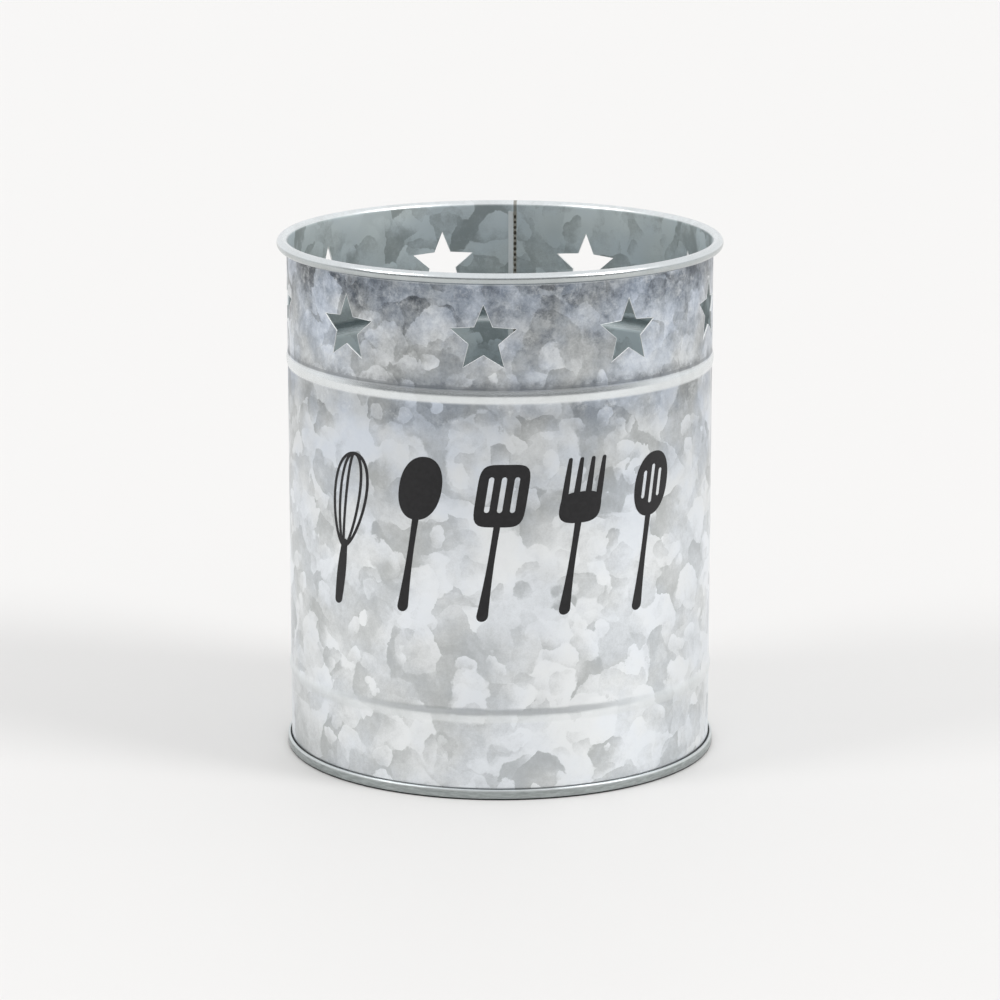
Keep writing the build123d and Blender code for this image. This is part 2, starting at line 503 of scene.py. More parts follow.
def sheet_along(tree, line, width, columns):
    """A grid that repeats a line along X, one row for each of its points."""
    rows = tree.step("AttributeDomainSize", line)
    grid = tree.step("MeshGrid", width, 1.0, tree.plus(columns, 1.0), rows)
    position = tree.step("InputPosition")
    x, y, _ = tree.separate(position)
    row = tree.math("ROUND", tree.times(tree.plus(y, 0.5), tree.minus(rows, 1.0)))
    sample = tree.step("SampleIndex", line, position, row, data_type="FLOAT_VECTOR", domain="POINT")
    _, along, up = tree.separate(sample)
    return tree.step("SetPosition", grid, None, tree.combine(x, along, up))


def placed_round(tree, geometry, angle, radius, z):
    """Moves points to their angle from the -Y line, their distance from the axis and their height."""
    x = tree.times(radius, tree.sine(angle))
    y = tree.times(tree.times(radius, tree.cosine(angle)), -1.0)
    return tree.step("SetPosition", geometry, None, tree.combine(x, y, z))


def rolled(tree, geometry):
    """Presses, curls and rolls flat sheet.

    Flat sheet has X round the wall from the -Y line, Y up the sheet and Z out from its inner face.
    """
    height, rim_radius, sheet, curl_radius = tree.sizes(
        "Wall height", "Wall rim radius", "Wall sheet", "Wall curl radius"
    )
    bead_rise, bead_width, *crests = tree.sizes("Beads rise", "Beads width", "Beads upper", "Beads lower")
    around, up, out = tree.separate(tree.step("InputPosition"))
    curl_middle = tree.minus(rim_radius, curl_radius)
    inner_face = tree.minus(curl_middle, curl_radius)
    sheet_middle = tree.math("MULTIPLY_ADD", sheet, 0.5, inner_face)
    curl_height = tree.minus(height, curl_radius)

    press = 0.0
    for crest in crests:
        away = tree.unsigned(tree.over(tree.minus(up, crest), bead_width))
        wave = tree.cosine(tree.times(tree.smaller(away, 0.5), TURN))
        swell = tree.math("MULTIPLY_ADD", wave, 0.5, 0.5)
        press = tree.math("MULTIPLY_ADD", swell, bead_rise, press)

    turn = tree.over(tree.larger(tree.minus(up, curl_height), 0.0), curl_radius)
    reach = tree.minus(curl_radius, out)
    inward = tree.times(reach, tree.cosine(turn))
    radius = tree.plus(tree.minus(curl_middle, inward), press)
    lift = tree.times(reach, tree.sine(turn))
    z = tree.plus(tree.smaller(up, curl_height), lift)
    return placed_round(tree, geometry, tree.over(around, sheet_middle), radius, z)


def wall_inner():
    wall = settings().wall
    return wall.rim_radius - 2 * wall.curl_radius


def wall_middle():
    return wall_inner() + settings().wall.sheet / 2


# Materials


class Finish(NodeMaker):
    """A procedural material in millimetres of Object coordinates."""

    def __init__(self, name):
        self.material = bpy.data.materials.new(name)
        self.material.use_nodes = True
        super().__init__(self.material.node_tree)
        self.shader = next(node for node in self.tree.nodes if node.type == "BSDF_PRINCIPLED")
        place = self.add("ShaderNodeTexCoord").outputs["Object"]
        self.place = self.vector("MULTIPLY", place, (1 / MM, 1 / MM, 1 / MM))

    def noise(self, fineness, octaves=2.0, ruggedness=0.5, stretch=None, output="Fac"):
        """Noise centred on 0.5, or with output="Color" a vector of three of them."""
        place = self.vector("MULTIPLY", self.place, stretch) if stretch else self.place
        return self.add("ShaderNodeTexNoise", place, fineness, octaves, ruggedness).outputs[output]

    def band(self, value, middle, half, soft):
        """1 within half of the middle, with soft of that easing to 0."""
        away = self.unsigned(self.minus(value, middle))
        return self.ramp(away, half, half - soft)

    def bumps(self, strength, depth, height, **inputs):
        """A normal with fine bumps. Their depth is in metres."""
        return self.value("ShaderNodeBump", strength, depth, inputs={"Height": height, **inputs})

    def done(self, **values):
        """The material, with its shader's inputs fed under their own names."""
        for name, value in values.items():
            self.feed(self.shader.inputs[name.replace("_", " ").title().replace("Ior", "IOR")], value)
        return self.material


class Zinc(Finish):
    """Galvanised sheet: flakes, grain, burnished rolled places that also carry a painted highlight, and a
    darker zone near the rim outside that is partly painted reflection and shade.
    """

    def __init__(self, name):
        super().__init__(name)
        self.colours = settings().zinc
        self.rim_top = settings().wall.height / MM
        self.upper_crest = settings().beads.upper / MM
        self.lower_crest = settings().beads.lower / MM
        self.x, self.y, self.z = self.separate(self.place)
        self.spoke = self.combine(self.x, self.y, 0.0)
        self.normal = self.add("ShaderNodeNewGeometry").outputs["Normal"]
        self.facing = self.vector("DOT_PRODUCT", self.normal, self.vector("NORMALIZE", self.spoke))
        self.outside = self.ramp(self.facing, *OUTER_FACING)
        # the curl's top: worn, and painted bright as a highlight
        self.worn_and_highlit = self.from_level(self.rim_top, WORN_AND_HIGHLIT_ZONE)
        curl = self.times(self.from_level(self.rim_top, CURL_ZONE), self.ramp(self.facing, *CURL_FACING))
        self.rim = self.larger(curl, self.worn_and_highlit)
        self.polished = self.larger(self.band(self.z, self.upper_crest, *BEAD_BAND), self.rim)
        self.blotch = self.noise(*BLOTCHES)
        self.tone, self.lean = self.spangle()

    def from_level(self, level, zone, end=1.0):
        """Eases from 0 to end between two heights, which are given from a level."""
        return self.ramp(self.z, level + zone[0], level + zone[1], 0.0, end)

    def flakes(self, place, size, seed, reach):
        """One layer of flakes, each crisp and rounded towards the top and fading out below.

        Gives a random tone for each flake, how much of it covers the layer below, and its random colour.
        """
        shifted = self.vector("ADD", place, [seed * part for part in LAYER_SHIFT])
        cells = self.add("ShaderNodeTexVoronoi", shifted, 1 / size)
        colour = cells.outputs["Color"]
        tone = self.value("ShaderNodeSeparateColor", colour)
        off_centre = self.vector("SUBTRACT", shifted, cells.outputs["Position"])
        heading = self.vector("NORMALIZE", self.vector("SUBTRACT", colour, FLAKE_HEADING))
        edge = self.ramp(cells.outputs["Distance"], reach, reach - FLAKE_EDGE)
        fade = self.ramp(self.vector("DOT_PRODUCT", off_centre, heading), -0.5 * size, 0.4 * size)
        return tone, self.times(edge, fade), colour

    def spangle(self):
        """Overlapping flakes: their tone, and a random lean for each that makes it glint by itself."""
        bent = self.place
        for *grain, distance in FLAKE_BENDS:
            drift = self.noise(*grain, output="Color")
            bent = self.vector("ADD", bent, self.vector("MULTIPLY", drift, (distance, distance, distance)))
        tone = self.ramp(self.noise(*GROUND_CLOUDS), 0.3, 0.7, 0.3, 0.8)
        tilt = self.noise(*GROUND_CLOUDS, output="Color")
        for size, seed, reach, darkest in FLAKE_LAYERS:
            flake_tone, cover, colour = self.flakes(bent, size, seed, reach)
            tone = self.mix(cover, tone, self.ramp(flake_tone, 0.0, 1.0, darkest, 1.0))
            tilt = self.blend(cover, tilt, colour)
        for *grain, amount in MOTTLE_LAYERS:
            tone = self.swing(self.noise(*grain), amount, onto=tone)
        contrast = self.ramp(self.facing, *OUTER_FACING, INSIDE_CONTRAST, 1.0)
        tone = self.swing(tone, contrast, MIDDLE_TONE, onto=MIDDLE_TONE)
        return tone, self.vector("SUBTRACT", tilt, (0.5, 0.5, 0.5))

    def dark_tone_and_shade(self):
        """How dark the zinc is outside: by height, partly as painted reflection and shade, and in patches.
        """
        depth = 0.0
        for low, high, amount in DARK_TONE_AND_SHADE_STEPS:
            depth = self.math("MULTIPLY_ADD", self.ramp(self.z, low, high), amount, depth)
        patches = self.swing(self.blotch, self.ramp(self.z, *VEIL_PATCHES))
        return self.times(self.plus(depth, patches), self.outside)

    def sheet(self):
        """Colour of the plain sheet, with a warm or cool cast where it is dark, and pale patches in shade
        that paint the glints of bright flakes.
        """
        dark_tone_and_shade = self.dark_tone_and_shade()
        pale = self.blend(self.ramp(self.tone, 0.05, 0.95), self.colours.grey, self.colours.pale)
        deep = self.blend(self.ramp(self.tone, 0.1, 1.0), self.colours.dark, self.colours.tint)
        cast = self.blend(self.ramp(self.noise(*CAST_CLOUDS), 0.36, 0.64), WARM_CAST, COOL_CAST)
        cast = self.blend(self.ramp(dark_tone_and_shade, 0.0, 0.6, 0.3, 1.0), NO_CAST, cast)
        # the darker zone is partly zinc tone and partly painted reflection and shade
        base = self.vector("MULTIPLY", self.blend(dark_tone_and_shade, pale, deep), cast)
        shady = self.larger(self.minus(1.0, self.outside), self.ramp(dark_tone_and_shade, 0.2, 0.6))
        # pale patches that paint glints of bright flakes where the zinc is in shade
        painted_glints = self.ramp(self.noise(*GLINT_CLOUDS), 0.52, 0.66, 0.0, GLINT_COVER)
        return self.blend(self.times(painted_glints, shady), base, self.colours.pale)

    def shaded_crease(self, base):
        """Paints shade into the crease over the upper bead, in blotches and as a crisp line."""
        crease_shade = self.times(
            self.from_level(self.upper_crest, CREASE_TOP), self.from_level(self.upper_crest, CREASE_FOOT)
        )
        crease_shade = self.times(crease_shade, self.ramp(self.blotch, 0.35, 0.65, 0.15, 0.6))
        line = self.band(self.z, self.upper_crest + CREASE_FOOT[1], *CREASE_LINE)
        # a crisp line of painted shade just over the bead
        crease_shade = self.larger(crease_shade, self.times(line, PAINTED_LINE_DEPTH))
        return self.blend(self.times(crease_shade, self.outside), base, self.colours.dark)

    def burnish_and_highlight(self, base):
        """Dims the inner face, paints shade under the top of the rim's curl, and rubs the rim and the beads
        bright, which is also a painted highlight, with some wear.
        """
        inside_dimming = self.blend(self.larger(self.outside, self.rim), self.colours.inside, NO_CAST)
        base = self.vector("MULTIPLY", base, inside_dimming)
        # below its top, the curl is painted darker with the fold colour, as shade
        curl_underside_shade = self.times(self.rim, self.minus(0.75, self.worn_and_highlit))
        bright = self.blend(curl_underside_shade, self.colours.burnish_and_highlight, self.colours.fold)
        lower_bead = self.times(self.band(self.z, self.lower_crest, *BEAD_BAND), LOWER_RUBBED_AND_HIGHLIT)
        rubbed_and_highlit = self.larger(self.polished, lower_bead)
        # rubbed places are burnished, and their brightness is also a painted highlight
        base = self.blend(self.times(rubbed_and_highlit, RUBBED_AND_HIGHLIT), base, bright)
        wear = self.times(rubbed_and_highlit, self.ramp(self.blotch, 0.65, 0.35, 0.0, WEAR))
        return self.blend(wear, base, self.colours.grey)

    def scorched(self, base):
        """Browns the rim where the weld crosses it at the back."""
        scorch = self.times(self.band(self.x, 0.0, *SCORCH_LINE), self.ramp(self.y, 0.0, 10.0))
        scorch = self.times(scorch, self.from_level(self.rim_top, CURL_ZONE, SCORCHED))
        return self.blend(scorch, base, self.colours.scorch)

    def folded(self, base):
        """Gives the base its plain scuffed fold with a bright lip that is worn and partly a painted
        highlight, painted shade in the crevice over it, and a painted contact shadow along the table.
        """
        inner_face = wall_inner() / MM
        radius = self.vector("LENGTH", self.spoke)
        fold = self.ramp(radius, *(inner_face + edge for edge in FOLD_EDGE))
        crevice_shade_mask = self.ramp(radius, *(inner_face + edge for edge in CREVICE_EDGE))
        scuffs = self.ramp(self.noise(*SCUFFS, stretch=SCUFF_STRETCH), 0.35, 0.65)
        plain = self.blend(scuffs, self.colours.scuffed, self.colours.fold)
        # the fold's top edge is worn bright, and also a painted highlight
        lip_wear_and_highlight = self.from_level(settings().pan.seam_height / MM, FOLD_LIP)
        plain = self.blend(self.times(lip_wear_and_highlight, 0.6), plain, self.colours.burnish_and_highlight)
        # painted contact shadow along the table
        plain = self.blend(self.from_level(0.0, CONTACT_SHADOW_LINE), plain, PAINTED_CONTACT_SHADOW)
        base = self.blend(fold, base, plain)
        # painted shade in the crevice between the wall and the fold
        return self.blend(self.times(fold, crevice_shade_mask), base, CREVICE_SHADE)

    def metal(self, base):
        """The material: glossier where it is rolled, duller inside, with leaning flakes and fine grain."""
        roughness = self.ramp(self.tone, 0.0, 1.0, *FLAKE_ROUGHNESS)
        roughness = self.mix(self.outside, INSIDE_ROUGHNESS, roughness)
        roughness = self.mix(self.polished, roughness, POLISHED_ROUGHNESS)
        lean = self.vector("SCALE", self.lean, self.mix(self.polished, *LEAN))
        normal = self.vector("NORMALIZE", self.vector("ADD", self.normal, lean))
        normal = self.bumps(0.2, 0.1 * MM, self.noise(*FINE_GRAIN), Normal=normal)
        return self.done(base_color=base, metallic=1.0, roughness=roughness, normal=normal)


def wall_zinc():
    """Galvanised sheet of the wall."""
    zinc = Zinc("galvanised_wall")
    return zinc.metal(zinc.scorched(zinc.burnish_and_highlight(zinc.shaded_crease(zinc.sheet()))))


def base_zinc():
    """Galvanised sheet of the base, with its plain fold."""
    zinc = Zinc("galvanised_base")
    return zinc.metal(zinc.folded(zinc.scorched(zinc.burnish_and_highlight(zinc.shaded_crease(zinc.sheet())))))


def clouded_metal(name, fineness, dull, bright, metallic, roughness):
    """Plain metal, clouded between two colours."""
    finish = Finish(name)
    base = finish.blend(finish.noise(fineness), dull, bright)
    return finish.done(base_color=base, metallic=metallic, roughness=roughness)


def cut_with_painted_highlight():
    """Sheared zinc at the edge of a star, made pale to paint the thin highlight along the cut."""
    metal = settings().metal
    return clouded_metal("sheared_edge", 3.0, metal.cut_dull, metal.cut_bright, 0.7, 0.4)


def wire_steel():
    """Plain drawn wire."""
    metal = settings().metal
    return clouded_metal("drawn_wire", 2.0, metal.wire_dull, metal.wire_bright, 1.0, 0.35)


def planished_lap():
    """The rolled-down lap: plain pale zinc beside a brown line of heat."""
    finish = Finish("planished_lap")
    metal = settings().metal
    streak = finish.noise(1.0, 3.0, 0.6, stretch=(3.0, 3.0, 0.25))
    wavering = finish.swing(finish.noise(0.8), 0.5, onto=finish.separate(finish.place)[0])
    heat = finish.times(finish.band(wavering, 0.0, *HEAT_LINE), 0.85)
    base = finish.blend(heat, finish.blend(streak, metal.lap_dull, metal.lap_bright), metal.heat)
    return finish.done(base_color=base, metallic=0.6, roughness=0.42)


def weld_scale():
    """Brown scale on the weld nuggets."""
    finish = Finish("weld_scale")
    metal = settings().metal
    grain = finish.ramp(finish.noise(1.6, 3.0, 0.6), 0.35, 0.65)
    base = finish.blend(grain, metal.scale_dark, metal.scale_light)
    return finish.done(base_color=base, metallic=0.6, roughness=0.5)


def vinyl():
    """Satin black film."""
    finish = Finish("vinyl_film")
    colour = settings().mark.colour
    lighter = [part * 1.35 for part in colour]
    base = finish.blend(finish.ramp(finish.noise(0.7, 3.0), 0.3, 0.7), colour, lighter)
    skin = finish.bumps(0.15, 0.05 * MM, finish.noise(4.0))
    return finish.done(base_color=base, roughness=0.5, specular_ior_level=0.3, normal=skin)


# Wall


def sheet_heights(lowest, highest):
    """Heights up the sheet at which a face of the wall needs a row."""
    wall = settings().wall
    beads = settings().beads
    below, between, above = PLAIN_ROWS
    stops = [
        (beads.lower - beads.width / 2, below),
        (beads.lower + beads.width / 2, BEAD_ROWS),
        (beads.upper - beads.width / 2, between),
        (beads.upper + beads.width / 2, BEAD_ROWS),
        (wall.height - wall.curl_radius, above),
        (highest, CURL_ROWS),
    ]
    heights = [lowest]
    for end, rows in stops:
        start = heights[-1]
        heights += [start + (end - start) * (row + 1) / rows for row in range(rows)]
    return heights


def wall_tree():
    """Blank sheet, beads, curl, roll and punched stars."""
    tree = GeometryTree("Rolled wall")
    columns = tree.count("Wall columns")
    star_count = tree.count("Stars count")
    star_height, star_pitch, tip_radius, notch_radius = tree.sizes(
        "Stars height", "Stars pitch", "Stars tip radius", "Stars notch radius"
    )
    punch_start, punch_length, blank_width = tree.sizes("Punch start", "Punch length", "Blank width")
    face_finish = tree.material("Finish")
    cut_finish = tree.material("Cut finish")

    shell = rolled(tree, sheet_along(tree, tree.geometry, blank_width, columns))
    shell = tree.step("MergeByDistance", shell, None, MERGE)

    star = tree.step("CurveStar", STAR_POINTS, notch_radius, tip_radius, 0.0)
    star = tree.step("FillCurve", star, mode="NGONS")
    depth = tree.combine(0.0, 0.0, punch_length)
    front = tree.step("ExtrudeMesh", star, None, depth, 1.0, False, mode="FACES")
    punch = tree.join(front, tree.step("FlipFaces", star))
    punch = tree.step("MergeByDistance", punch, None, MERGE)
    punch = tree.step("Transform", punch, None, (0.0, 0.0, TURN / 4))
    place = tree.combine(0.0, tree.times(punch_start, -1.0), star_height)
    punch = tree.step("Transform", punch, place, (TURN / 4, 0.0, 0.0))
    posts = tree.step("MeshLine", star_count, (0.0, 0.0, 0.0), (0.0, 0.0, 0.0))
    middle = tree.math("MULTIPLY_ADD", star_count, 0.5, -0.5)
    turn = tree.times(tree.minus(tree.step("InputIndex"), middle), star_pitch)
    spun = {"Rotation": tree.combine(0.0, 0.0, turn)}
    punches = tree.step("RealizeInstances", tree.step("InstanceOnPoints", posts, None, punch, inputs=spun))
    shell = tree.step("MeshBoolean", shell, punches, operation="DIFFERENCE", solver="EXACT")

    x, y, z = tree.separate(tree.step("InputPosition"))
    spoke = tree.vector("NORMALIZE", tree.combine(x, y, 0.0))
    normal = tree.add("GeometryNodeInputNormal").outputs["True Normal"]
    facing = tree.unsigned(tree.vector("DOT_PRODUCT", normal, spoke))
    in_row = tree.math("LESS_THAN", tree.unsigned(tree.minus(z, star_height)), tip_radius)
    cut = tree.times(tree.math("LESS_THAN", facing, 0.5), in_row)
    return tree.finish(shell, (face_finish, True), (cut_finish, cut))


def burr_tree():
    """The raised edge that the punch leaves round each star, outside."""
    tree = GeometryTree("Star burrs")
    star_count = tree.count("Stars count")
    star_height, tip_radius, notch_radius, burr_radius = tree.sizes(
        "Stars height", "Stars tip radius", "Stars notch radius", "Stars burr"
    )
    star_spacing, outer_face = tree.sizes("Spacing", "Wall sheet")
    star = tree.step("CurveStar", STAR_POINTS, notch_radius, tip_radius, 0.0)
    star = tree.step("SubdivideCurve", star, BURR_CUTS)
    ring = tree.step("CurvePrimitiveCircle", BURR_SIDES, mode="RADIUS", inputs={"Radius": burr_radius})
    burr = tree.step("CurveToMesh", star, ring)
    burr = tree.step("Transform", burr, None, (0.0, 0.0, TURN / 4))
    middle = tree.math("MULTIPLY_ADD", star_count, 0.5, -0.5)
    first = tree.times(tree.times(middle, star_spacing), -1.0)
    start = tree.combine(first, star_height, outer_face)
    line = tree.step("MeshLine", star_count, start, tree.combine(star_spacing, 0.0, 0.0))
    burrs = tree.step("RealizeInstances", tree.step("InstanceOnPoints", line, None, burr))
    return tree.finish(rolled(tree, burrs), (tree.material("Finish"), True), angle=TURN / 4)


class HOLDER_OT_wall(bpy.types.Operator):
    """Rolls the wall with its beads, curl and punched stars"""

    bl_idname = "holder.wall"
    bl_label = "Rolled wall"

    def execute(self, context):
        wall = settings().wall
        curl_end = wall.height - wall.curl_radius + wall.curl_wrap * wall.curl_radius
        heights = sheet_heights(wall.foot, curl_end)
        outside = [(0.0, height, wall.sheet) for height in heights]
        inside = [(0.0, height, 0.0) for height in reversed(heights)]
        piece = made_by_nodes(
            "rolled_wall",
            line_mesh("wall_blank", outside + inside + outside[:1]),
            wall_tree(),
            punch_start=wall_inner() - PUNCH_REACH,
            punch_length=wall.sheet + 2 * PUNCH_REACH,
            blank_width=TURN * wall_middle(),
            finish=wall_zinc(),
            cut_finish=cut_with_painted_highlight(),
        )
        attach(piece, "root")
        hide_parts("body_wall")
        return {"FINISHED"}


class HOLDER_OT_burrs(bpy.types.Operator):
    """Raises the burr that the punch leaves round the stars"""

    bl_idname = "holder.burrs"
    bl_label = "Star burrs"

    def execute(self, context):
        spacing = settings().stars.pitch * wall_middle()
        base = bpy.data.meshes.new("burr_base")
        piece = made_by_nodes("star_burrs", base, burr_tree(), spacing=spacing, finish=cut_with_painted_highlight())
        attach(piece, "root")
        return {"FINISHED"}


# Base pan


def bent_sheet(corners, bend, thickness):
    """Outline of a bent sheet: its line with rounded corners, and back along its left-hand face."""
    near = [corners[0]]
    far = [corners[0] + Vector((0.0, thickness))]
    for before, corner, after in zip(corners, corners[1:], corners[2:]):
        along = (corner - before).normalized()
        onward = (after - corner).normalized()
        side = 1 if along.cross(onward) > 0 else -1
        radius = bend if side > 0 else bend - thickness
        swing = along.angle(onward)
        left = Vector((-along.y, along.x))
        middle = corner - along * radius * math.tan(swing / 2) + left * side * radius
        for step in range(BEND_STEPS + 1):
            angle = side * swing * step / BEND_STEPS
            spoke = along * math.sin(angle) - left * math.cos(angle)
            spoke = spoke * side
            near.append(middle + spoke * radius)
            far.append(middle + spoke * (radius - side * thickness))
    along = (corners[-1] - corners[-2]).normalized()
    near.append(corners[-1])
    far.append(corners[-1] + Vector((-along.y, along.x)) * thickness)
    return near + far[::-1]


def pan_tree():
    """A section turned round the axis."""
    tree = GeometryTree("Turned pan")
    flat = sheet_along(tree, tree.geometry, TURN, tree.count("Pan segments"))
    angle, radius, z = tree.separate(tree.step("InputPosition"))
    shell = placed_round(tree, flat, angle, radius, z)
    shell = tree.step("MergeByDistance", shell, None, MERGE)
    return tree.finish(shell, (tree.material("Finish"), True))


class HOLDER_OT_pan(bpy.types.Operator):
    """Turns the base pan with its stepped panel and double seam"""

    bl_idname = "holder.pan"
    bl_label = "Base pan"

    def execute(self, context):
        wall = settings().wall
        pan = settings().pan
        layer = wall.sheet + SEAM_CLEARANCE
        chuck = wall_inner() - layer
        hook = wall_inner() + layer
        corners = [
            (0.0, pan.panel_lift + pan.step_rise),
            (pan.step_radius - pan.step_run / 2, pan.panel_lift + pan.step_rise),
            (pan.step_radius + pan.step_run / 2, pan.panel_lift),
            (chuck, pan.panel_lift),
            (chuck, 0.0),
            (pan.seam_radius, 0.0),
            (pan.seam_radius, pan.seam_height),
            (hook, pan.seam_height),
            (hook, 2 * layer),
        ]
        section = bent_sheet([Vector(corner) for corner in corners], pan.bend, wall.sheet)
        line = line_mesh("pan_section", [(0.0, point.x, point.y) for point in section])
        piece = made_by_nodes("turned_base_pan", line, pan_tree(), finish=base_zinc())
        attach(piece, "root")
        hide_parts("base_pan")
        return {"FINISHED"}


# Rim wire


class HOLDER_OT_wire(bpy.types.Operator):
    """Finishes the wire inside the rim"""

    bl_idname = "holder.wire"
    bl_label = "Rim wire"

    def execute(self, context):
        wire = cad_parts["rim_wire"]
        wire.data.materials.clear()
        wire.data.materials.append(wire_steel())
        return {"FINISHED"}


# Side seam


def lap_tree():
    """A strip of doubled sheet along the wall."""
    tree = GeometryTree("Side lap")
    width, proud, sheet = tree.sizes("Seam width", "Seam proud", "Wall sheet")
    start, end, centre = tree.sizes("Start", "End", "Centre")
    depth = tree.math("MULTIPLY_ADD", proud, 2.0, sheet)
    strip = tree.step("MeshCube", tree.combine(width, tree.minus(end, start), depth), *LAP_CUTS)
    middle = tree.times(tree.plus(start, end), 0.5)
    strip = tree.step("Transform", strip, tree.combine(centre, middle, tree.times(sheet, 0.5)))
    return tree.finish(rolled(tree, strip), (tree.material("Finish"), True))


def nugget_tree():
    """Weld nuggets in a line up both faces of the lap."""
    tree = GeometryTree("Weld nuggets")
    count = tree.count("Count")
    pitch, length, width, depth = tree.sizes(
        "Seam nugget pitch", "Seam nugget length", "Seam nugget width", "Seam nugget depth"
    )
    start, centre, *faces = tree.sizes("Start", "Centre", "Inner face", "Outer face")
    size = tree.combine(tree.times(width, 0.5), tree.times(length, 0.5), depth)
    rows = []
    for seed, face in enumerate(faces):
        first = tree.combine(centre, start, face)
        line = tree.step("MeshLine", count, first, tree.combine(0.0, pitch, 0.0))
        spread = tree.value(
            "FunctionNodeRandomValue", NUGGET_LEAST, NUGGET_MOST, None, seed, data_type="FLOAT_VECTOR"
        )
        scale = tree.vector("MULTIPLY", size, spread)
        bead = tree.step("MeshIcoSphere", 1.0, NUGGET_CUTS)
        rows.append(tree.step("InstanceOnPoints", line, None, bead, inputs={"Scale": scale}))
    beads = rolled(tree, tree.step("RealizeInstances", tree.join(*rows)))
    return tree.finish(beads, (tree.material("Finish"), True))


class HOLDER_OT_seam(bpy.types.Operator):
    """Adds the welded lap at the back and its row of nuggets"""

    bl_idname = "holder.seam"
    bl_label = "Side seam"

    def execute(self, context):
        wall = settings().wall
        seam = settings().seam
        pan = settings().pan
        back = TURN / 2 * wall_middle()
        foot = pan.panel_lift + pan.step_rise
        head = wall.height - 2 * wall.curl_radius
        lap = made_by_nodes(
            "side_lap",
            bpy.data.meshes.new("lap_base"),
            lap_tree(),
            start=foot,
            end=head,
            centre=back + seam.shift,
            finish=planished_lap(),
        )
        weld = made_by_nodes(
            "weld_nuggets",
            bpy.data.meshes.new("nugget_base"),
            nugget_tree(),
            start=foot + seam.nugget_pitch,
            count=int((head - foot - seam.nugget_length / 2) / seam.nugget_pitch),
            centre=back,
            inner_face=-seam.proud,
            outer_face=wall.sheet + seam.proud,
            finish=weld_scale(),
        )
        for piece in (lap, weld):
            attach(piece, "root")
        return {"FINISHED"}


# Vinyl utensils


def cap(centre, side, along):
    """Round end of a stroke, from its one side over to the other."""
    points = []
    for step in range(1, CAP_STEPS):
        angle = math.pi * step / CAP_STEPS
        points.append(centre + side * math.cos(angle) + along * side.length * math.sin(angle))
    return points


def stroke(points, widths):
    """Outline of a brush stroke through points, with its width at each, and round ends."""
    left = []
    right = []
    for before, point, after, width in zip(points[:1] + points, points, points[1:] + points[-1:], widths):
        along = (after - before).normalized()
        side = Vector((-along.y, along.x)) * width / 2
        left.append(point + side)
        right.append(point - side)
    tip = cap(points[-1], left[-1] - points[-1], (points[-1] - points[-2]).normalized())
    tail = cap(points[0], right[0] - points[0], (points[0] - points[1]).normalized())
    return left + tip + right[::-1] + tail


def bar(x, low, high, foot, waist, neck):
    """An upright stroke whose width goes from foot through waist to neck."""
    points = []
    widths = []
    for step in range(STROKE_STEPS + 1):
        part = step / STROKE_STEPS
        points.append(Vector((x, low + (high - low) * part)))
        bulge = (waist - (foot + neck) / 2) * math.sin(math.pi * part)
        widths.append(foot * (1 - part) + neck * part + bulge)
    return stroke(points, widths)


def handle(top, foot, waist, neck):
    return bar(0, HANDLE_FOOT, top, foot, waist, neck)


def slot(x, middle, half, width):
    return bar(x, middle - half, middle + half, width, width, width)


def oval(height, across, up, squareness):
    """A closed oval on the tool's middle line. A squareness of 2 is an ellipse."""
    points = []
    for step in range(OVAL_STEPS):
        angle = TURN * step / OVAL_STEPS
        reach = abs(math.cos(angle)) ** squareness + abs(math.sin(angle)) ** squareness
        reach = reach ** (-1 / squareness)
        points.append(Vector((across * reach * math.cos(angle), height + up * reach * math.sin(angle))))
    return points


def whisk():
    """Solid outlines and slots of a whisk, as the next four give them for their tools."""
    solid = [handle(top=19, foot=3.0, waist=3.6, neck=2.2)]
    for bulge in WHISK_BULGES:
        loop = []
        for step in range(LOOP_STEPS + 1):
            part = step / LOOP_STEPS
            fullness = WHISK_NECK + (1 - WHISK_NECK) * part
            x = bulge * math.sin(math.pi * part) * fullness
            loop.append(Vector((x, WHISK_FOOT + WHISK_LENGTH * (1 - math.cos(math.pi * part)) / 2)))
        solid.append(stroke(loop, [WHISK_WIRE] * len(loop)))
    return solid, []


def spoon():
    solid = [
        handle(top=31, foot=3.4, waist=1.9, neck=2.2),
        oval(37.0, across=6.6, up=9.4, squareness=2.2),
    ]
    return solid, []


def turner():
    solid = [
        handle(top=30, foot=3.4, waist=2.0, neck=2.0),
        oval(37.2, across=7.4, up=9.2, squareness=5.0),
    ]
    slots = [slot(x, middle=37.5, half=4.5, width=1.5) for x in (-3.7, 0, 3.7)]
    return solid, slots


def fork():
    solid = [
        handle(top=30, foot=3.4, waist=1.9, neck=2.2),
        oval(31.5, across=6.4, up=4.6, squareness=3.0),
    ]
    solid += [bar(x, 31.5, 45.6, foot=1.9, waist=1.8, neck=1.2) for x in (-5.3, -1.8, 1.8, 5.3)]
    return solid, []


def slotted_spoon():
    solid, _ = spoon()
    slots = [slot(x, middle=37, half=half, width=1.3) for x, half in ((-3.0, 3.4), (0, 5.0), (3.0, 3.4))]
    return solid, slots


def area_of(outline):
    """Area inside an outline, negative where it runs clockwise."""
    return sum(a.cross(b) for a, b in zip(outline, outline[1:] + outline[:1])) / 2


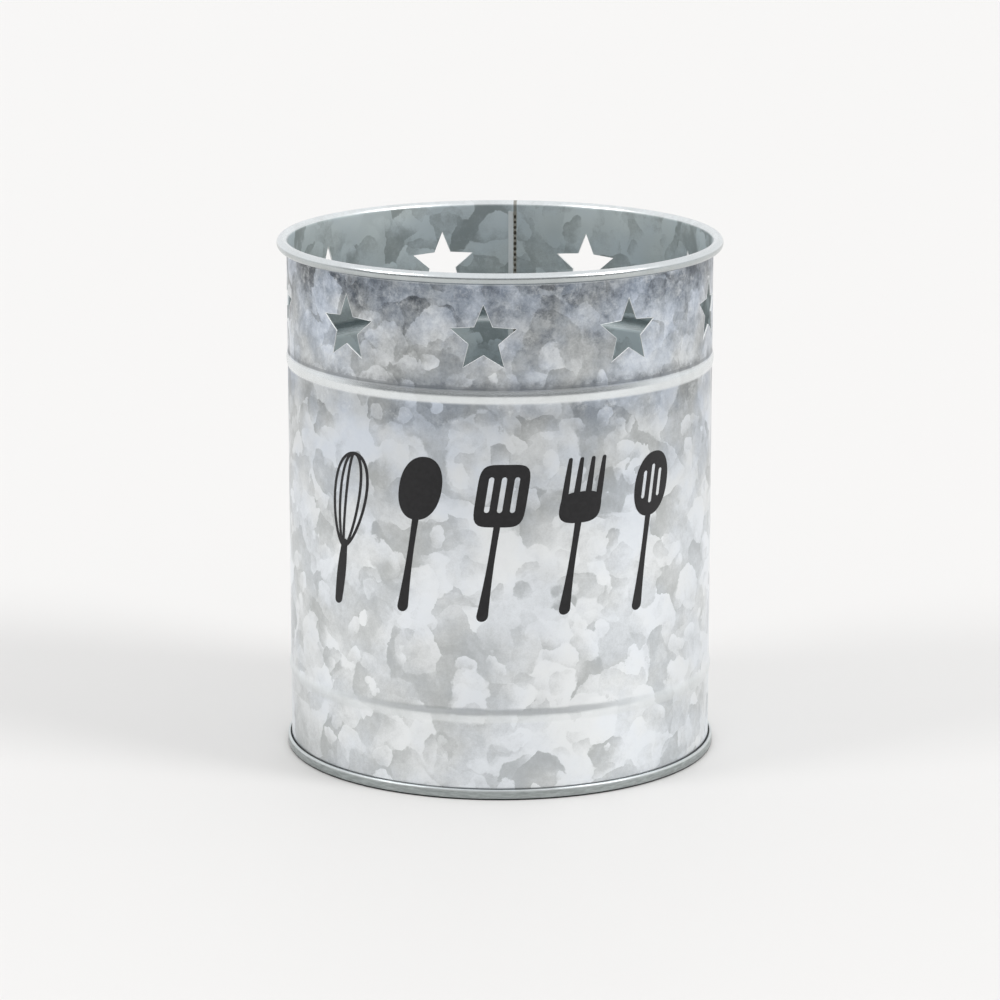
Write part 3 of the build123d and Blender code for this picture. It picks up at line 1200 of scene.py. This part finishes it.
def drawing():
    """All outlines of the drawing in millimetres on the flat sheet, each with whether it is solid."""
    tools = (whisk, spoon, turner, fork, slotted_spoon)
    outlines = []
    for place, tool in enumerate(tools):
        solid, slots = tool()
        aside = (place - (len(tools) - 1) / 2) * TOOL_PITCH
        drop = TOOL_STAGGER * (place % 2)
        for shape, is_solid in [(shape, True) for shape in solid] + [(shape, False) for shape in slots]:
            placed = []
            for point in shape:
                x = aside + point.x + (point.y - TOOL_HEIGHT / 2) * TOOL_SLANT
                placed.append(Vector((x, point.y + drop)) * settings().mark.scale)
            if area_of(placed) < 0:
                placed.reverse()
            outlines.append((placed, is_solid))
    return outlines


def flat_film(outlines):
    """Points and triangles of the outlines, cut into narrow columns so that they can be rolled."""
    points = []
    faces = []
    for outline, _ in outlines:
        faces.append(list(range(len(points), len(points) + len(outline))))
        points += outline
    low = min(point.x for point in points)
    high = max(point.x for point in points)
    bottom = min(point.y for point in points) - 1
    top = max(point.y for point in points) + 1
    edges = []
    for column in range(1, int((high - low) / FILM_COLUMN) + 1):
        x = low + column * FILM_COLUMN
        edges.append((len(points), len(points) + 1))
        points += [Vector((x, bottom)), Vector((x, top))]
    found, _, triangles, _, _, sources = delaunay_2d_cdt(points, edges, faces, 0, FILM_MERGE, True)
    slots = {at for at, (_, is_solid) in enumerate(outlines) if not is_solid}
    kept = []
    for triangle, source in zip(triangles, sources):
        if source and not slots.intersection(source):
            kept.append(triangle)
    return found, kept


def film_mesh():
    """The drawing as flat sheet: closed film that is half sunk into the wall's outer face."""
    mark = settings().mark
    points, triangles = flat_film(drawing())
    mesh = bmesh.new()
    floor = settings().wall.sheet - mark.film
    verts = [mesh.verts.new((p.x * MM + mark.across, p.y * MM + mark.foot, floor)) for p in points]
    for triangle in triangles:
        mesh.faces.new([verts[corner] for corner in triangle])
    loose = [vert for vert in mesh.verts if not vert.link_faces]
    bmesh.ops.delete(mesh, geom=loose, context="VERTS")
    for face in mesh.faces:
        if face.normal.z > 0:
            face.normal_flip()
    raised = bmesh.ops.extrude_face_region(mesh, geom=list(mesh.faces), use_keep_orig=True)
    for item in raised["geom"]:
        if isinstance(item, bmesh.types.BMVert):
            item.co.z += 2 * mark.film
    film = bpy.data.meshes.new("film_base")
    mesh.to_mesh(film)
    mesh.free()
    return film


def film_tree():
    """Flat film rolled with the wall."""
    tree = GeometryTree("Rolled film")
    return tree.finish(rolled(tree, tree.geometry), (tree.material("Finish"), True))


class HOLDER_OT_mark(bpy.types.Operator):
    """Lays the vinyl utensils on the front of the wall"""

    bl_idname = "holder.mark"
    bl_label = "Vinyl utensils"

    def execute(self, context):
        piece = made_by_nodes("vinyl_utensils", film_mesh(), film_tree(), finish=vinyl())
        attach(piece, "root")
        return {"FINISHED"}


# Studio


def pale_floor():
    """A plain floor at table height."""
    mesh = bpy.data.meshes.new("studio_floor")
    corners = [(x * FLOOR_REACH, y * FLOOR_REACH, 0.0) for x, y in ((-1, -1), (1, -1), (1, 1), (-1, 1))]
    mesh.from_pydata(corners, [], [(0, 1, 2, 3)])
    mesh.materials.append(Finish("pale_floor").done(base_color=FLOOR_COLOUR, roughness=0.6))
    floor = bpy.data.objects.new("studio_floor", mesh)
    bpy.context.scene.collection.objects.link(floor)


def studio_room():
    """A world that is pale overhead and behind the holder, and darker round the camera."""
    world = bpy.data.worlds.new("studio_room")
    world.use_nodes = True
    room = NodeMaker(world.node_tree)
    _, y, z = room.separate(room.add("ShaderNodeTexCoord").outputs["Generated"])
    light = room.larger(room.ramp(z, *ROOM_OVERHEAD), room.ramp(y, *ROOM_BEHIND))
    colour = room.blend(light, ROOM_DARK, ROOM_LIGHT)
    room.feed(world.node_tree.nodes["Background"].inputs["Color"], colour)
    bpy.context.scene.world = world


def soft_light(name, side, strength):
    """A wide, even light from the given side, as of a large lamp far away."""
    lamp = bpy.data.lights.new(name, "SUN")
    lamp.energy = strength
    lamp.angle = LAMP_SPREAD
    light = bpy.data.objects.new(name, lamp)
    light.location = side
    light.rotation_euler = Vector(side).to_track_quat("Z", "Y").to_euler()
    bpy.context.scene.collection.objects.link(light)


def photo_camera():
    """A camera at the photograph's viewing angle."""
    studio = settings().studio
    lens = bpy.data.cameras.new("photo_camera")
    lens.sensor_width = SENSOR_WIDTH
    lens.lens = studio.lens
    lens.clip_start = NEAREST_SEEN
    camera = bpy.data.objects.new("photo_camera", lens)
    camera.location = (
        studio.distance * math.sin(studio.azimuth),
        -studio.distance * math.cos(studio.azimuth),
        studio.height,
    )
    camera.rotation_euler = (TURN / 4 - studio.pitch, 0.0, studio.azimuth)
    bpy.context.scene.collection.objects.link(camera)
    bpy.context.scene.camera = camera


class HOLDER_OT_studio(bpy.types.Operator):
    """Sets the floor, the room, the lights and the camera"""

    bl_idname = "holder.studio"
    bl_label = "Studio"

    def execute(self, context):
        pale_floor()
        studio_room()
        for name, side, strength in LAMPS:
            soft_light(name, side, strength)
        photo_camera()
        context.scene.view_settings.view_transform = "Standard"
        return {"FINISHED"}


class HOLDER_PT_panel(bpy.types.Panel):
    """Lists the holder's settings and pieces"""

    bl_idname = "HOLDER_PT_panel"
    bl_label = "Utensil holder"
    bl_space_type = "VIEW_3D"
    bl_region_type = "UI"
    bl_category = "Utensil holder"

    def draw(self, context):
        for group in HolderSettings.__annotations__:
            box = self.layout.box()
            part = getattr(context.scene.utensil_holder, group)
            for name in type(part).__annotations__:
                box.prop(part, name)
        for operator in OPERATORS:
            self.layout.operator(operator.bl_idname)


GROUPS = (
    WallSettings,
    BeadSettings,
    StarSettings,
    PanSettings,
    SeamSettings,
    MarkSettings,
    ZincSettings,
    MetalSettings,
    StudioSettings,
    HolderSettings,
)
OPERATORS = (
    HOLDER_OT_wall,
    HOLDER_OT_burrs,
    HOLDER_OT_pan,
    HOLDER_OT_wire,
    HOLDER_OT_seam,
    HOLDER_OT_mark,
    HOLDER_OT_studio,
)
CLASSES = (*GROUPS, *OPERATORS, HOLDER_PT_panel)


def register():
    for made in CLASSES:
        bpy.utils.register_class(made)
    bpy.types.Scene.utensil_holder = PointerProperty(type=HolderSettings)


def unregister():
    del bpy.types.Scene.utensil_holder
    for made in reversed(CLASSES):
        bpy.utils.unregister_class(made)


def main():
    register()
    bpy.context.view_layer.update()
    bpy.ops.holder.wall()
    bpy.ops.holder.burrs()
    bpy.ops.holder.pan()
    bpy.ops.holder.wire()
    bpy.ops.holder.seam()
    bpy.ops.holder.mark()
    bpy.ops.holder.studio()


if __name__ == "__main__":
    main()
